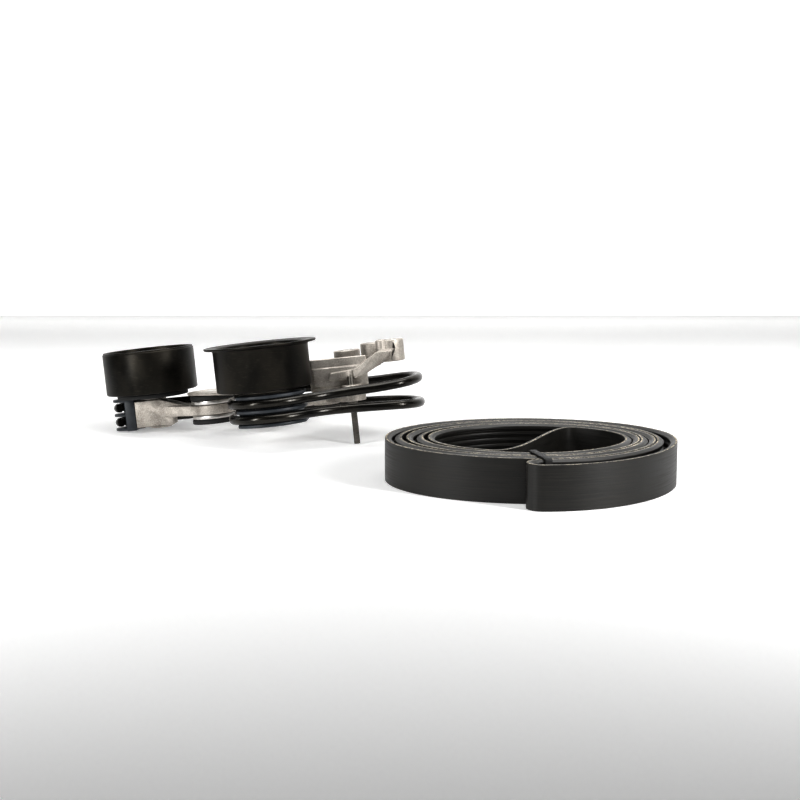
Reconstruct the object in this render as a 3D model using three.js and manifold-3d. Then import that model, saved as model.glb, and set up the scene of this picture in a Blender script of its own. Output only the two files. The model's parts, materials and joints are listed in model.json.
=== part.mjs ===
// Accessory-drive belt kit: a two-pulley belt tensioner with stacked bow springs, and a folded ribbed belt.
// Millimetres, +Z up. The kit stands on the plane z = 0.
import * as THREE from "three";
import { mergeVertices } from "three/addons/utils/BufferGeometryUtils.js";
import Module from "manifold-3d";

// ---------------------------------------------------------------- driving dimensions
const GAP = 0.3; // air left between neighbouring pieces

// The tensioner's own frame: u to the right, v to the back, w up along the pulley axes.
// w = 0 is the arm's mid-plane.
const TILT = 6; // degrees, left end low
const LEAN = 3.0; // degrees, near side high
const YAW = -2; // degrees, left end further back
const PIN_FOOT = new THREE.Vector2(-28, 128); // where the lock pin stands on the floor

const PULLEY = {
  radius: 30.8,
  leftBottom: 14.4,
  overCheek: 0.5, // air between the carrier's cheek and the centre pulley above it
  width: 29,
  wall: 2.6,
  web: 4,
  hubWall: 2.4,
  flangeRadius: 36.3,
  flangeThickness: 1.5,
  segments: 36,
};
const BEARING = { outer: 17, inner: 6, width: 13, race: 2.7, ballRadius: 2.35, balls: 8, seal: 0.8 };
const AXLE_CLEARANCE = 0.25;
const BOLT_HEAD = { radius: 8.5, height: 4.6 };

const LEFT_AXIS = new THREE.Vector2(-88, 27);
const CENTRE_AXIS = new THREE.Vector2(-4, -25);
const ARM_PIVOT = new THREE.Vector2(-45, 13);
const CARRIER_PIVOT = new THREE.Vector2(32, 6);
const LOCK_HOLE = new THREE.Vector2(51, -12);

const ROD_RADIUS = 3;
const ROD_LEVEL = 4.9; // height of a rod above or below the mid-plane, in the saddles
const ROD_SPLAY = 3.4; // what the rods part by at the bend
const ARM_HALF = 3.3; // half thickness of the arm's bar
const EYE_RADIUS = 15;
const WASHER = { radius: 14.6, thickness: 2.6 };
const DISC = { radius: 15, thickness: 3 };
const PIVOT_PIN = 5;
const BUSH_WALL = 1.5;

const BLOCK = { left: -99.5, right: -74, front: 17, back: 32.5, half: 9 };
const HUB_RADIUS = 8.6;
const BLOCK_FOOT = { at: new THREE.Vector2(-84, 24.6), radius: 7.4, depth: 1.3 };
const SADDLE = { centre: new THREE.Vector2(-107, 32), turn: 7, flange: 10, plate: 1.7, half: 10.6 };
// left, right: where the spool's flanges are cut off straight.
const SPOOL = {
  centre: new THREE.Vector2(-1, -28),
  turn: 25,
  flange: 26.4,
  plate: 2,
  room: 0.1, // air above and below a rod in its groove
  bore: 14,
  left: -20.5,
  right: 22.5,
};

const CHEEK_THICKNESS = 1.6;
const TAIL_HALF = 2.1;
const PLATE = { bottom: 12.2, top: 18 };
const LOCK_PIN = { radius: 2, top: 14, clearance: 0.3, collar: 3.2, collarHeight: 1.2 };
const CARRIER_TRAVEL = 12; // degrees the carrier swings away from the lock pin
const PIVOT_HEAD = { radius: 8, height: 4 };
const TAIL_RADIUS = 10; // round the carrier's pivot
const TAIL_DROP = 2; // what the pivot boss stands below the tail

// The bracket's upright near wall. It is thicker below its ledge.
const WALL = { left: 21, right: 62, front: -6.4, back: -3.6, low: 8, high: 26.4, ledge: 20.5, step: 1.5 };
// The ear under the near wall that the lock pin passes through.
const LUG = { radius: 6, low: 5.4, high: 8.4 };
// The diagonal strut in front of the near wall, as points of u and w, and how deep it is.
const STRUT = {
  outline: [
    [36, 12.4],
    [47, 11.4],
    [53.5, 11.7],
    [63, 15.4],
    [72, 20],
    [80, 28],
    [70, 28],
    [64, 24.5],
    [54, 18.1],
    [38, 16.9],
  ],
  front: -11,
  back: 4,
};

// The bolt bosses of the bracket. Each holds a steel sleeve that stands a little proud of it.
const SLEEVE = { outer: 5, wall: 0.8, proud: 0.3 };
const BOSSES = {
  right: { at: new THREE.Vector2(66, 10), radius: 8, low: 20, high: 33.3 },
  end: { at: new THREE.Vector2(78.2, 9.5), radius: 8.7, low: 20, high: 34.3 },
  ear: { at: new THREE.Vector2(47, 30), radius: 9, low: PLATE.bottom, high: 29 },
  rear: { at: new THREE.Vector2(-17, 50), radius: 8, low: null, high: PLATE.top }, // low: on the floor
};
// The small round rib between the two right bosses.
const NIB = { at: new THREE.Vector2(72, 3.6), radius: 3.4, low: 22, high: 34.8 };
// Where the rods turn back behind the bracket.
const SPRING_BEND = { at: new THREE.Vector2(69, 0), radius: 26 };
// The dust shield on the left arm, which covers the underside of the left pulley.
const SHIELD = { radius: 24, plate: 1.4, skirt: 2.8, wall: 1.4 };

const BELT = {
  width: 24.9,
  thickness: 4,
  centre: new THREE.Vector2(75.2, 11.5),
  halfLength: 84.2,
  halfDepth: 68.2,
  steps: 11, // samples in a quarter turn
};
// The tie lies askew over the strands, with its far end to the left.
// at: quarter turns past the hook; lean: how far the far end is off to the side.
const TIE = { width: 4, thickness: 1, clearance: 1.1, at: 0.025, lean: 5, tab: 5 };

// ---------------------------------------------------------------- solids
const wasm = await Module();
wasm.setup();

/** A closed three.js geometry as a solid that can be joined and cut. */
function solid(geometry) {
  const plain = geometry.index ? geometry.toNonIndexed() : geometry.clone();
  plain.deleteAttribute("normal");
  plain.deleteAttribute("uv");
  const merged = mergeVertices(plain, 1e-4);
  return new wasm.Manifold(
    new wasm.Mesh({
      numProp: 3,
      vertProperties: new Float32Array(merged.attributes.position.array),
      triVerts: new Uint32Array(merged.index.array),
    }),
  );
}

/** A solid back as a three.js geometry. */
function geometryOf(body) {
  const mesh = body.asOriginal().simplify(0.01).getMesh();
  const geometry = new THREE.BufferGeometry();
  geometry.setAttribute("position", new THREE.BufferAttribute(new Float32Array(mesh.vertProperties), 3));
  geometry.setIndex(new THREE.BufferAttribute(new Uint32Array(mesh.triVerts), 1));
  const flat = geometry.toNonIndexed();
  flat.computeVertexNormals();
  return flat;
}

const union = (...bodies) => bodies.reduce((whole, next) => whole.add(next));
const cut = (body, ...tools) => tools.reduce((rest, tool) => rest.subtract(tool), body);

/** A shape in the u-v plane, raised from w = low to w = high. */
function slab(shape, low, high, curveSegments = 9) {
  const depth = high - low;
  const geometry = new THREE.ExtrudeGeometry(shape, { depth, bevelEnabled: false, curveSegments });
  return solid(geometry.translate(0, 0, low));
}

/** A round post at a point of the u-v plane. */
function post(at, radius, low, high, sides = 24) {
  const geometry = new THREE.CylinderGeometry(radius, radius, high - low, sides);
  return solid(geometry.rotateX(Math.PI / 2).translate(at.x, at.y, (low + high) / 2));
}

/** A ring or pipe at a point of the u-v plane. */
function pipe(at, outer, inner, low, high, sides = 24) {
  return cut(post(at, outer, low, high, sides), post(at, inner, low - 1, high + 1, sides));
}

/** A box given by its two ends on each axis. */
function block(u0, u1, v0, v1, w0, w1) {
  const geometry = new THREE.BoxGeometry(u1 - u0, v1 - v0, w1 - w0);
  return solid(geometry.translate((u0 + u1) / 2, (v0 + v1) / 2, (w0 + w1) / 2));
}

/** The outline round two circles, such as a link with round ends. */
function link(a, ra, b, rb) {
  const along = b.clone().sub(a);
  const heading = Math.atan2(along.y, along.x);
  const spread = Math.acos((ra - rb) / along.length());
  const shape = new THREE.Shape();
  shape.absarc(a.x, a.y, ra, heading + spread, heading - spread + 2 * Math.PI, false);
  shape.absarc(b.x, b.y, rb, heading - spread, heading + spread, false);
  shape.closePath();
  return shape;
}

/** A turned piece: a closed profile of [radius, height] pairs about an upright axis. */
function turned(at, profile, segments) {
  const points = profile.map(([r, h]) => new THREE.Vector2(r, h));
  points.push(points[0].clone());
  const geometry = new THREE.LatheGeometry(points, segments);
  return solid(geometry.rotateX(Math.PI / 2).translate(at.x, at.y, 0));
}

// ---------------------------------------------------------------- looks
function paint(color, roughness, metalness) {
  return new THREE.MeshStandardMaterial({ color, roughness, metalness });
}
const LOOKS = {
  cast: paint(0xa8a29a, 0.6, 0.9),
  blackSteel: paint(0x1a1a1a, 0.3, 0.7),
  steel: paint(0x9a9a98, 0.35, 1),
  darkSteel: paint(0x4a4742, 0.45, 0.9),
  polymer: paint(0x23272d, 0.55, 0),
  blackPlastic: paint(0x131313, 0.5, 0),
  rubber: paint(0x1c1b19, 0.75, 0),
  tie: paint(0xb9b2a0, 0.5, 0),
};

function add(group, name, body, look) {
  const mesh = new THREE.Mesh(geometryOf(body), look);
  mesh.name = name;
  group.add(mesh);
  return mesh;
}

// ---------------------------------------------------------------- levels worked out from the sizes above
const washerLow = ARM_HALF + GAP;
const washerHigh = washerLow + WASHER.thickness;
const discLow = washerHigh + GAP;
const discHigh = discLow + DISC.thickness;
const spoolHalf = ROD_LEVEL + ROD_RADIUS + SPOOL.room + SPOOL.plate;
const cheekLow = Math.max(discHigh, spoolHalf) + GAP;
const cheekHigh = cheekLow + CHEEK_THICKNESS;
/** Where a pulley's top, web and bearing lie when its rim starts at some height. */
function pulleyLevels(bottom) {
  const webMiddle = bottom + PULLEY.width / 2;
  return {
    bottom,
    webMiddle,
    pulleyTop: bottom + PULLEY.width,
    bearingLow: webMiddle - BEARING.width / 2,
    bearingHigh: webMiddle + BEARING.width / 2,
  };
}
const leftLevels = pulleyLevels(PULLEY.leftBottom);
const centreLevels = pulleyLevels(cheekHigh + PULLEY.overCheek);

// The floor, seen from the tensioner's frame, touches the low rim of the saddle's bottom flange.
const slopeU = Math.tan(THREE.MathUtils.degToRad(TILT)) / Math.cos(THREE.MathUtils.degToRad(LEAN));
const slopeV = Math.tan(THREE.MathUtils.degToRad(LEAN));
const slope = Math.hypot(slopeU, slopeV);
/** Height of the lowest flat-ended post of a radius at a point that just stands on the floor. */
function footLevel(at, radius) {
  const d = at.clone().sub(SADDLE.centre);
  return -SADDLE.half - SADDLE.flange * slope - d.x * slopeU + d.y * slopeV + radius * slope;
}

// ---------------------------------------------------------------- pulleys
function pulley(name, at, levels, flanged) {
  const group = new THREE.Group();
  const { radius: R, wall, web, hubWall, flangeRadius, flangeThickness, segments } = PULLEY;
  const { bottom, webMiddle, pulleyTop, bearingLow, bearingHigh } = levels;
  const hubOuter = BEARING.outer + GAP + hubWall;
  const hubInner = BEARING.outer + GAP;
  const lip = 1;
  const rim = [
    [hubInner, bearingLow - lip],
    [hubOuter, bearingLow - lip],
    [hubOuter, webMiddle - web / 2],
    [R - wall, webMiddle - web / 2],
    [R - wall, bottom],
    [R - 0.6, bottom],
    [R, bottom + 0.6],
    [R, pulleyTop - flangeThickness],
  ];
  if (flanged) {
    rim.push([flangeRadius - 0.4, pulleyTop - flangeThickness + 0.4], [flangeRadius, pulleyTop + 0.6]);
    rim.push([flangeRadius - 1.2, pulleyTop + 0.6], [R - wall, pulleyTop]);
  } else {
    rim.push([R - 0.5, pulleyTop - flangeThickness + 0.4], [R - 0.5, pulleyTop], [R - wall, pulleyTop]);
  }
  rim.push([R - wall, webMiddle + web / 2], [hubOuter, webMiddle + web / 2]);
  rim.push([hubOuter, bearingHigh + 5], [hubInner, bearingHigh + 5]);
  add(group, `${name}_pulley_rim`, turned(at, rim, segments), LOOKS.blackSteel);

  const outer = pipe(at, BEARING.outer, BEARING.outer - BEARING.race, bearingLow, bearingHigh, segments);
  add(group, `${name}_bearing_outer_race`, outer, LOOKS.steel);
  const innerOuter = BEARING.inner + BEARING.race;
  const inner = pipe(at, innerOuter, BEARING.inner, bearingLow, bearingHigh, segments / 2);
  add(group, `${name}_bearing_inner_race`, inner, LOOKS.steel);

  const pitch = (BEARING.outer - BEARING.race + innerOuter) / 2;
  const cageHalf = 0.9;
  let cage = pipe(at, pitch + 1, pitch - 1, webMiddle - cageHalf, webMiddle + cageHalf, segments / 2);
  for (let i = 0; i < BEARING.balls; i++) {
    const angle = (i / BEARING.balls) * 2 * Math.PI;
    const ball = new THREE.SphereGeometry(BEARING.ballRadius, 6, 4);
    ball.translate(at.x + pitch * Math.cos(angle), at.y + pitch * Math.sin(angle), webMiddle);
    cage = cage.add(solid(ball));
  }
  add(group, `${name}_bearing_balls`, cage, LOOKS.steel);
  const sealOuter = BEARING.outer - BEARING.race - GAP;
  for (const [end, low] of [["lower", bearingLow], ["upper", bearingHigh - BEARING.seal]]) {
    const ring = pipe(at, sealOuter, innerOuter + GAP, low, low + BEARING.seal, segments / 2);
    add(group, `${name}_bearing_seal_${end}`, ring, LOOKS.blackPlastic);
  }

  const boltTop = bearingHigh + GAP + BOLT_HEAD.height;
  const head = post(at, BOLT_HEAD.radius, bearingHigh + GAP, boltTop, 6);
  const shankLow = -ARM_HALF + 1;
  const shank = post(at, BEARING.inner - AXLE_CLEARANCE, shankLow, boltTop - 1);
  add(group, `${name}_axle_bolt`, union(head, shank), LOOKS.steel);

  const capLow = boltTop + GAP;
  const capRadius = hubInner - GAP;
  const cap = turned(
    at,
    [
      [0, capLow],
      [capRadius - 1.2, capLow],
      [capRadius - 1.2, capLow - 2],
      [capRadius, capLow - 2],
      [capRadius, capLow + 0.4],
      [capRadius - 0.8, capLow + 1.2],
      [0, capLow + 1.2],
    ],
    segments,
  );
  add(group, `${name}_dust_cap`, cap, LOOKS.blackPlastic);
  return group;
}

// ---------------------------------------------------------------- the swinging left arm
function leftArm() {
  const group = new THREE.Group();
  const { left, right, front, back, half } = BLOCK;
  const shankHole = BEARING.inner - AXLE_CLEARANCE + GAP;
  const eye = post(ARM_PIVOT, EYE_RADIUS, -ARM_HALF, ARM_HALF, 32);
  const neck = new THREE.Vector2(right - 4, (front + back) / 2);
  const bar = slab(link(ARM_PIVOT, EYE_RADIUS, neck, (back - front) / 2), -ARM_HALF, ARM_HALF);
  const wedge = new THREE.Shape();
  wedge.moveTo(left, -half);
  wedge.lineTo(right, -half);
  wedge.lineTo(right, -half + 4.6);
  wedge.lineTo(right + 3, -ARM_HALF);
  wedge.lineTo(right + 9, ARM_HALF);
  wedge.lineTo(right - 8, half);
  wedge.lineTo(left, half);
  wedge.closePath();
  const side = new THREE.ExtrudeGeometry(wedge, { depth: back - front, bevelEnabled: false });
  const body = solid(side.rotateX(Math.PI / 2).translate(0, back, 0));
  const hub = post(LEFT_AXIS, HUB_RADIUS, half - 1, leftLevels.bearingLow - GAP);
  const foot = post(BLOCK_FOOT.at, BLOCK_FOOT.radius, -half - BLOCK_FOOT.depth, -half + 1, 24);
  const casting = cut(
    union(eye, bar, body, hub, foot),
    post(ARM_PIVOT, PIVOT_PIN + BUSH_WALL + 2 * GAP, -20, 20),
    post(LEFT_AXIS, shankHole, -ARM_HALF + 1 - GAP, 40),
    block(left - 1, left + 3, SADDLE.centre.y - 4 - GAP, SADDLE.centre.y + 4 + GAP, -half - 1, half + 1),
  );
  add(group, "left_arm_casting", casting, LOOKS.cast);

  const bush = pipe(ARM_PIVOT, PIVOT_PIN + BUSH_WALL + GAP, PIVOT_PIN + GAP, -ARM_HALF, ARM_HALF);
  add(group, "left_arm_bush", bush, LOOKS.polymer);
  add(group, "left_arm_saddle", armSaddle(), LOOKS.polymer);
  const { radius, plate, skirt, wall } = SHIELD;
  const shieldTop = leftLevels.bottom - 2 * GAP;
  const disc = pipe(LEFT_AXIS, radius, HUB_RADIUS + GAP, shieldTop - plate, shieldTop, 36);
  const edge = pipe(LEFT_AXIS, radius, radius - wall, shieldTop - skirt, shieldTop - plate / 2, 36);
  add(group, "left_dust_shield", union(disc, edge), LOOKS.blackPlastic);
  return group;
}

/** The grooved plastic saddle on the end of the left arm, which the rods turn round. */
function armSaddle() {
  const { centre, turn, flange, plate, half } = SADDLE;
  const core = turn - ROD_RADIUS - 2 * GAP;
  const wallEnd = BLOCK.left - GAP;
  let body = post(centre, core, -half, half, 24);
  body = body.add(block(centre.x, BLOCK.left + 3 - GAP, centre.y - core, centre.y + core, -half, half));
  body = body.add(block(centre.x + 0.5, wallEnd, BLOCK.front + 1, BLOCK.back + 1, -half, half));
  const shape = new THREE.Shape();
  shape.moveTo(wallEnd, centre.y + flange);
  shape.absarc(centre.x, centre.y, flange, Math.PI / 2, (Math.PI * 4) / 3, false);
  shape.lineTo(wallEnd, BLOCK.front + 1);
  shape.closePath();
  for (const level of [-half, -plate / 2, half - plate]) {
    body = body.add(slab(shape, level, level + plate));
  }
  // The far legs of the rods run on beside the wall, so it is cut back from them.
  const legEnd = BLOCK.left + 5;
  const leg = block(centre.x, legEnd, centre.y + core + GAP, centre.y + 20, -half + plate, half - plate);
  const rib = block(centre.x - 1, legEnd + 1, centre.y, centre.y + 21, -plate / 2, plate / 2);
  return cut(body, leg.subtract(rib));
}

// ---------------------------------------------------------------- the carrier with the centre pulley
function carrier() {
  const group = new THREE.Group();
  const hub = post(CENTRE_AXIS, 9.5, -ARM_HALF, centreLevels.bearingLow - GAP);
  const nose = post(SPOOL.centre, SPOOL.bore - GAP, -spoolHalf, spoolHalf, 32);
  const tail = slab(link(SPOOL.centre, SPOOL.bore - GAP, CARRIER_PIVOT, TAIL_RADIUS), -TAIL_HALF, TAIL_HALF);
  const tailEnd = new THREE.Vector2(LOCK_HOLE.x, LOCK_HOLE.y + 1);
  const lockEnd = slab(link(CARRIER_PIVOT, TAIL_RADIUS, tailEnd, TAIL_RADIUS - 1), -TAIL_HALF, TAIL_HALF);
  const pivotBoss = post(CARRIER_PIVOT, TAIL_RADIUS - 1, -TAIL_HALF - TAIL_DROP, PLATE.bottom - GAP);
  const cheek = slab(link(CENTRE_AXIS, 14, ARM_PIVOT, 16.5), cheekLow, cheekHigh);
  const riser = post(CENTRE_AXIS, 12, spoolHalf + GAP, cheekHigh, 32);
  const reach = lockSlot();
  const shankHole = BEARING.inner - AXLE_CLEARANCE + GAP;
  const casting = cut(
    union(hub, nose, tail, lockEnd, pivotBoss, cheek, riser),
    post(CARRIER_PIVOT, PIVOT_PIN + BUSH_WALL + 2 * GAP, -30, 30),
    post(CENTRE_AXIS, shankHole, -ARM_HALF + 1 - GAP, 40),
    post(ARM_PIVOT, PIVOT_PIN + GAP, -30, 30),
    reach,
  );
  add(group, "carrier_casting", casting, LOOKS.cast);
  const bushTop = PLATE.bottom - GAP;
  const bushOuter = PIVOT_PIN + BUSH_WALL + GAP;
  const bush = pipe(CARRIER_PIVOT, bushOuter, PIVOT_PIN + GAP, -TAIL_HALF - TAIL_DROP, bushTop);
  add(group, "carrier_bush", bush, LOOKS.polymer);
  add(group, "spring_spool", springSpool(), LOOKS.polymer);

  add(group, "arm_pivot_pin", post(ARM_PIVOT, PIVOT_PIN, -discHigh, cheekHigh), LOOKS.steel);
  const bore = PIVOT_PIN + GAP;
  add(group, "arm_washer_upper", pipe(ARM_PIVOT, WASHER.radius, bore, washerLow, washerHigh), LOOKS.steel);
  add(group, "arm_washer_lower", pipe(ARM_PIVOT, WASHER.radius, bore, -washerHigh, -washerLow), LOOKS.steel);
  add(group, "arm_disc_upper", pipe(ARM_PIVOT, DISC.radius, bore, discLow, discHigh), LOOKS.blackPlastic);
  add(group, "arm_disc_lower", pipe(ARM_PIVOT, DISC.radius, bore, -discHigh, -discLow), LOOKS.blackPlastic);
  return group;
}

/** The slot in the carrier's tail that the lock pin stands at the end of. */
function lockSlot() {
  const from = LOCK_HOLE.clone().sub(CARRIER_PIVOT);
  const width = LOCK_PIN.radius + LOCK_PIN.clearance;
  const start = Math.atan2(from.y, from.x);
  const end = start - THREE.MathUtils.degToRad(CARRIER_TRAVEL + 1);
  const reach = from.length();
  const shape = new THREE.Shape();
  shape.absarc(CARRIER_PIVOT.x, CARRIER_PIVOT.y, reach + width, end, start, false);
  shape.absarc(LOCK_HOLE.x, LOCK_HOLE.y, width, start, start + Math.PI, false);
  shape.absarc(CARRIER_PIVOT.x, CARRIER_PIVOT.y, reach - width, start, end, true);
  const tip = new THREE.Vector2(Math.cos(end), Math.sin(end)).multiplyScalar(reach).add(CARRIER_PIVOT);
  shape.absarc(tip.x, tip.y, width, end + Math.PI, end + 2 * Math.PI, false);
  return slab(shape, -30, 30);
}

/** The half-round plastic spool that the near ends of the rods lie round. */
function springSpool() {
  const { centre, turn, flange, plate, bore, left, right } = SPOOL;
  const core = turn - ROD_RADIUS - GAP;
  let body = post(centre, core - GAP, -spoolHalf, spoolHalf, 36);
  for (const level of [-spoolHalf, -plate / 2, spoolHalf - plate]) {
    body = body.add(post(centre, flange, level, level + plate, 36));
  }
  const behind = block(centre.x - 40, centre.x + 40, centre.y + 5, centre.y + 60, -40, 40);
  const trimLeft = block(centre.x - 40, left, centre.y - 40, centre.y + 40, -40, 40);
  const trimRight = block(right, centre.x + 40, centre.y - 40, centre.y + 40, -40, 40);
  const tailOutline = link(centre, bore, CARRIER_PIVOT, TAIL_RADIUS + GAP);
  const tailRoom = slab(tailOutline, -TAIL_HALF - GAP, TAIL_HALF + GAP);
  return cut(body, post(centre, bore, -40, 40, 32), behind, trimLeft, trimRight, tailRoom);
}

// ---------------------------------------------------------------- the bow springs
/** The middle line of one rod: round the spool, out to the bend, back behind, and round the arm's saddle. */
function rodPath(side) {
  const { centre: spool, turn } = SPOOL;
  const around = (centre, radius, degrees) => {
    const angle = THREE.MathUtils.degToRad(degrees);
    return new THREE.Vector2(centre.x + radius * Math.cos(angle), centre.y + radius * Math.sin(angle));
  };
  const { centre: saddle, turn: hook } = SADDLE;
  const points = [
    ...[176, 205, 235, 262, 290].map((a) => around(spool, turn, a)),
    around(spool, turn + 0.8, 315),
    new THREE.Vector2(30, -36),
    new THREE.Vector2(44, -29.5),
    ...[-90, -50, -20, 20, 50, 90].map((a) => around(SPRING_BEND.at, SPRING_BEND.radius, a)),
    new THREE.Vector2(20, 30.5),
    new THREE.Vector2(-35, 35),
    new THREE.Vector2(-80, 38.4),
    ...[92, 130, 165, 200, 228].map((a) => around(saddle, hook, a)),
  ];
  const free = [6, points.length - 6]; // the stretch between spool and saddle
  const share = (i) => THREE.MathUtils.clamp((i - free[0]) / (free[1] - free[0]), 0, 1);
  const rise = (i) => ROD_LEVEL + ROD_SPLAY * Math.sin(Math.PI * share(i)) ** 2;
  return new THREE.CatmullRomCurve3(points.map((p, i) => new THREE.Vector3(p.x, p.y, side * rise(i))));
}

/** A round rod swept along its path. */
function rod(side) {
  const circle = new THREE.Shape();
  circle.absarc(0, 0, ROD_RADIUS, 0, 2 * Math.PI, false);
  const sweep = { steps: 54, curveSegments: 5, extrudePath: rodPath(side) };
  const geometry = new THREE.ExtrudeGeometry(circle, sweep);
  return solid(geometry);
}

function springs() {
  const group = new THREE.Group();
  add(group, "bow_spring_upper", rod(1), LOOKS.blackSteel);
  add(group, "bow_spring_lower", rod(-1), LOOKS.blackSteel);
  return group;
}

// ---------------------------------------------------------------- the fixed bracket
function bracket() {
  const group = new THREE.Group();
  const outline = new THREE.Shape();
  outline.moveTo(24, 14);
  outline.lineTo(30, -5);
  outline.lineTo(57, -5);
  outline.lineTo(58, 16);
  outline.lineTo(56, 36);
  outline.lineTo(10, 48);
  outline.lineTo(-14, 56);
  outline.lineTo(-17, 43);
  outline.closePath();
  const plate = slab(outline, PLATE.bottom, PLATE.top);
  const lugBack = new THREE.Vector2(LOCK_HOLE.x, (WALL.front + WALL.back) / 2);
  const lug = slab(link(LOCK_HOLE, LUG.radius, lugBack, LUG.radius + 1), LUG.low, LUG.high).intersect(
    block(WALL.left, WALL.right, LOCK_HOLE.y - 20, WALL.back, LUG.low - 1, LUG.high + 1),
  );
  const wall = union(
    block(WALL.left, WALL.right, WALL.front, WALL.back, LUG.low, WALL.high),
    block(WALL.left, WALL.right, WALL.front - WALL.step, WALL.back, WALL.low, WALL.ledge),
  );
  const nib = post(NIB.at, NIB.radius, NIB.low, NIB.high, 16);
  const strutSide = new THREE.Shape(STRUT.outline.map(([u, w]) => new THREE.Vector2(u, w)));
  const strutDepth = STRUT.back - STRUT.front;
  const strutRun = new THREE.ExtrudeGeometry(strutSide, { depth: strutDepth, bevelEnabled: false });
  const strut = solid(strutRun.rotateX(Math.PI / 2).translate(0, STRUT.back, 0));
  let casting = union(plate, lug, wall, nib, strut);
  for (const { at, radius, low, high } of Object.values(BOSSES)) {
    casting = casting.add(post(at, radius, low ?? footLevel(at, radius), high));
  }
  for (const { at } of Object.values(BOSSES)) {
    casting = casting.subtract(post(at, SLEEVE.outer + GAP, -60, 60));
  }
  casting = cut(
    casting,
    post(CARRIER_PIVOT, PIVOT_PIN + GAP, 0, 60),
    post(LOCK_HOLE, LOCK_PIN.radius + LOCK_PIN.clearance, -60, 60),
    post(CENTRE_AXIS, PULLEY.radius + 4, 0, 60, 36),
  );
  add(group, "bracket_casting", casting, LOOKS.cast);

  for (const [name, { at, radius, low, high }] of Object.entries(BOSSES)) {
    const bottom = low ?? footLevel(at, radius) + SLEEVE.proud;
    const sleeve = pipe(at, SLEEVE.outer, SLEEVE.outer - SLEEVE.wall, bottom, high + SLEEVE.proud);
    add(group, `bolt_sleeve_${name}`, sleeve, LOOKS.steel);
  }
  const headTop = PLATE.top + PIVOT_HEAD.height;
  const head = post(CARRIER_PIVOT, PIVOT_HEAD.radius, PLATE.top + GAP, headTop, 6);
  const shank = post(CARRIER_PIVOT, PIVOT_PIN, -TAIL_HALF - TAIL_DROP, headTop - 1);
  add(group, "carrier_pivot_bolt", union(head, shank), LOOKS.darkSteel);
  return group;
}

// ---------------------------------------------------------------- the lock pin
function lockPin() {
  const group = new THREE.Group();
  const tip = footLevel(LOCK_HOLE, LOCK_PIN.radius);
  const shaft = post(LOCK_HOLE, LOCK_PIN.radius, tip, LOCK_PIN.top, 24);
  const collarTop = -TAIL_HALF - GAP;
  const collar = post(LOCK_HOLE, LOCK_PIN.collar, collarTop - LOCK_PIN.collarHeight, collarTop, 24);
  add(group, "lock_pin", union(shaft, collar), LOOKS.darkSteel);
  return group;
}

// ---------------------------------------------------------------- the folded belt
/** How far each strand's middle lies inside the coil's outline, at each quarter turn from the hook. */
const OUTER_STRAND = [-16, 2.2, 2.2, 2.2, 2.6, 14.2, 12.2, 14.5, 12.4, 23.2, 22, 27, 22.4];
const INNER_STRAND = [-2.6, 9.7, 7.3, 8, 7.4, 18.7, 17.1, 20.5, 17.2, 27.8, 27];

/** A point of a strand, counted in quarter turns from the hook at the front. */
function strandPoint(depths, quarters) {
  const i = Math.min(Math.floor(quarters), depths.length - 2);
  const blend = (1 - Math.cos(Math.PI * (quarters - i))) / 2;
  const depth = depths[i] + (depths[i + 1] - depths[i]) * blend;
  const angle = ((quarters - 1) * Math.PI) / 2;
  const { centre, halfLength: a, halfDepth: b } = BELT;
  const edge = (a * b) / Math.hypot(b * Math.cos(angle), a * Math.sin(angle));
  const reach = edge - depth;
  return new THREE.Vector2(centre.x + reach * Math.cos(angle), centre.y + reach * Math.sin(angle));
}

/** The belt's middle line as one closed run of points. */
function beltLine() {
  const line = [];
  const outerEnd = 11.62; // quarter turns at which the outer strand leaves the wall
  const innerEnd = 9.55;
  const step = 1 / BELT.steps;
  for (let q = 0; q < outerEnd; q += step) line.push(strandPoint(OUTER_STRAND, q));
  const leave = strandPoint(OUTER_STRAND, outerEnd);
  const leaveWay = leave.clone().sub(strandPoint(OUTER_STRAND, outerEnd - step)).normalize();
  const join = strandPoint(INNER_STRAND, innerEnd);
  const joinWay = join.clone().sub(strandPoint(INNER_STRAND, innerEnd + step)).normalize();
  const reach = leave.distanceTo(join) / 2;
  const leavePull = 0.55; // how strongly each end of the crossing keeps the strand's own way
  const joinPull = 0.45;
  const crossing = new THREE.CubicBezierCurve(
    leave,
    leave.clone().addScaledVector(leaveWay, reach * leavePull),
    join.clone().addScaledVector(joinWay, -reach * joinPull),
    join,
  );
  line.push(...crossing.getSpacedPoints(26).slice(0, -1));
  for (let q = innerEnd; q > 0; q -= step) line.push(strandPoint(INNER_STRAND, q));
  const inner = strandPoint(INNER_STRAND, 0);
  const outer = strandPoint(OUTER_STRAND, 0);
  const middle = inner.clone().add(outer).multiplyScalar(0.5);
  const radius = inner.distanceTo(outer) / 2;
  for (let i = 0; i < 10; i++) {
    const angle = Math.PI / 2 + (Math.PI * i) / 10;
    line.push(new THREE.Vector2(middle.x + radius * Math.cos(angle), middle.y + radius * Math.sin(angle)));
  }
  return line;
}

function belt() {
  const group = new THREE.Group();
  const line = beltLine();
  const half = BELT.thickness / 2;
  const side = (sign) =>
    line.map((p, i) => {
      const before = line[(i + line.length - 1) % line.length];
      const after = line[(i + 1) % line.length];
      const way = after.clone().sub(before).normalize();
      return new THREE.Vector2(p.x + sign * half * way.y, p.y - sign * half * way.x);
    });
  const shape = new THREE.Shape(side(1));
  shape.holes.push(new THREE.Path(side(-1)));
  const geometry = new THREE.ExtrudeGeometry(shape, { depth: BELT.width, bevelEnabled: false });
  add(group, "ribbed_belt", solid(geometry), LOOKS.rubber);
  return group;
}

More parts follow.
